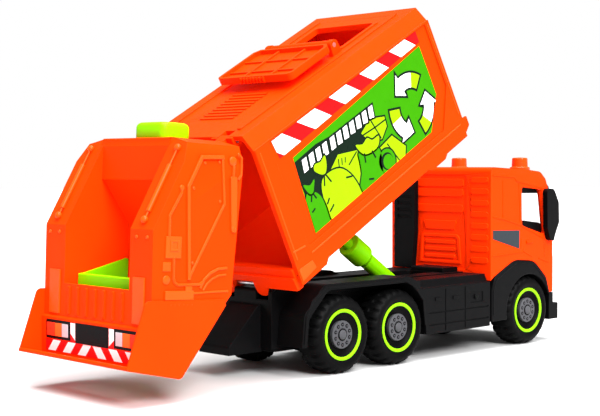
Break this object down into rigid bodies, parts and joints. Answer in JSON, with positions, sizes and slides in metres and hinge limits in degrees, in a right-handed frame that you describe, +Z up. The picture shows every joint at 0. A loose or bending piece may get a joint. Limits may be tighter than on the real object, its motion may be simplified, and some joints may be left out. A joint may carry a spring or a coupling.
{
  "type": "toy refuse truck",
  "caption": "Toy refuse truck with a tipping body, an opening roof hatch, a hinged rear loader with a sliding press tray, and free-rolling wheels.",
  "frame": {"origin": "on the ground below the centre of the bounding box in the rest pose: body raised, loader and hatch open", "axes": "+X toward the cab's nose, +Y to the truck's left, +Z up"},
  "size_m": [0.329, 0.0868, 0.1896],
  "materials": {
    "orange_plastic": "satin injection moulding, lightly glossy",
    "black_plastic": "fine satin",
    "lime_plastic": "satin injection moulding",
    "hub_grey": "satin",
    "tyre_rubber": "dull",
    "steel": "bright drawn wire",
    "side_sticker": "glossy printed film",
    "cab_sticker": "glossy printed film",
    "lamp_sticker": "glossy printed film",
    "plate_sticker": "glossy printed film",
    "stripe_sticker": "glossy printed film",
    "beacon_orange": "glossy"
  },
  "bodies": {
    "chassis": {"air_intake": "black_plastic", "beacon_left": "beacon_orange", "beacon_right": "beacon_orange", "cab_decals": "cab_sticker", "cab_interior": "black_plastic", "cab_shell": "orange_plastic", "cab_step": "black_plastic", "chassis_frame": "black_plastic", "chassis_screws": "steel", "front_bumper": "black_plastic", "front_fender_left": "black_plastic", "front_fender_right": "black_plastic", "mirror_left": "black_plastic", "mirror_right": "black_plastic", "ram_base_pin": "steel", "side_skirt_left": "black_plastic", "side_skirt_right": "black_plastic", "sun_visor": "black_plastic", "tip_pivot_pin": "steel", "underbody_plate": "black_plastic"},
    "rear_wheelset": {"rear_axle": "steel", "rear_tyre_left": "tyre_rubber", "rear_tyre_right": "tyre_rubber", "rear_hub_left": "hub_grey", "rear_hub_right": "hub_grey"},
    "middle_wheelset": {"middle_axle": "steel", "middle_tyre_left": "tyre_rubber", "middle_tyre_right": "tyre_rubber", "middle_hub_left": "hub_grey", "middle_hub_right": "hub_grey"},
    "front_wheelset": {"front_axle": "steel", "front_tyre_left": "tyre_rubber", "front_tyre_right": "tyre_rubber", "front_hub_left": "hub_grey", "front_hub_right": "hub_grey"},
    "container": {"container_shell": "orange_plastic", "side_stickers_left": "side_sticker", "side_stickers_right": "side_sticker", "ram_upper_pin": "steel", "hatch_pin": "steel", "tail_hinge_pin_left": "steel", "tail_hinge_pin_right": "steel"},
    "hatch": {"hatch_lid": "orange_plastic"},
    "tailgate": {"tailgate_shell": "orange_plastic", "tail_wings": "orange_plastic", "tail_lights": "lamp_sticker", "number_plate": "plate_sticker", "warning_stripes": "stripe_sticker"},
    "press": {"press_handle": "lime_plastic", "press_link": "lime_plastic", "scoop_tray": "lime_plastic"},
    "ram_tube": {"ram_cylinder": "lime_plastic"},
    "ram_piston": {"ram_rod": "lime_plastic"}
  },
  "joints": [
    {"name": "rear_wheels_spin", "type": "hinge", "parent": "chassis", "child": "rear_wheelset", "pos_m": [-0.02547, 0, 0.02], "axis": [0, 1, 0], "continuous": true},
    {"name": "middle_wheels_spin", "type": "hinge", "parent": "chassis", "child": "middle_wheelset", "pos_m": [0.01683, 0, 0.02], "axis": [0, 1, 0], "continuous": true},
    {"name": "front_wheels_spin", "type": "hinge", "parent": "chassis", "child": "front_wheelset", "pos_m": [0.13083, 0, 0.02], "axis": [0, 1, 0], "continuous": true},
    {"name": "container_tip", "type": "hinge", "parent": "chassis", "child": "container", "pos_m": [-0.05477, 0, 0.0461], "axis": [0, 1, 0], "range_deg": [0, 29.5]},
    {"name": "tailgate_swing", "type": "hinge", "parent": "container", "child": "tailgate", "pos_m": [-0.09037, 0, 0.11776], "axis": [0, 1, 0], "range_deg": [-33, 0]},
    {"name": "hatch_swing", "type": "hinge", "parent": "container", "child": "hatch", "pos_m": [-0.01869, 0, 0.16774], "axis": [0, 1, 0], "range_deg": [0, 181.6]},
    {"name": "press_slide", "type": "slide", "parent": "tailgate", "child": "press", "axis": [0.061, 0, 0.9981], "range_m": [0, 0.014]},
    {"name": "ram_swing", "type": "hinge", "parent": "chassis", "child": "ram_tube", "pos_m": [0.06453, 0, 0.0307], "axis": [0, 1, 0], "range_deg": [-18.5, 0]},
    {"name": "ram_extend", "type": "slide", "parent": "ram_tube", "child": "ram_piston", "axis": [-0.8295, 0, 0.5585], "range_m": [-0.0195, 0]}
  ],
  "couplings": [
    {"joint": "ram_swing", "follows": "container_tip", "ratio": -0.5991},
    {"joint": "ram_extend", "follows": "container_tip", "m_per_rad": -0.03691}
  ]
}
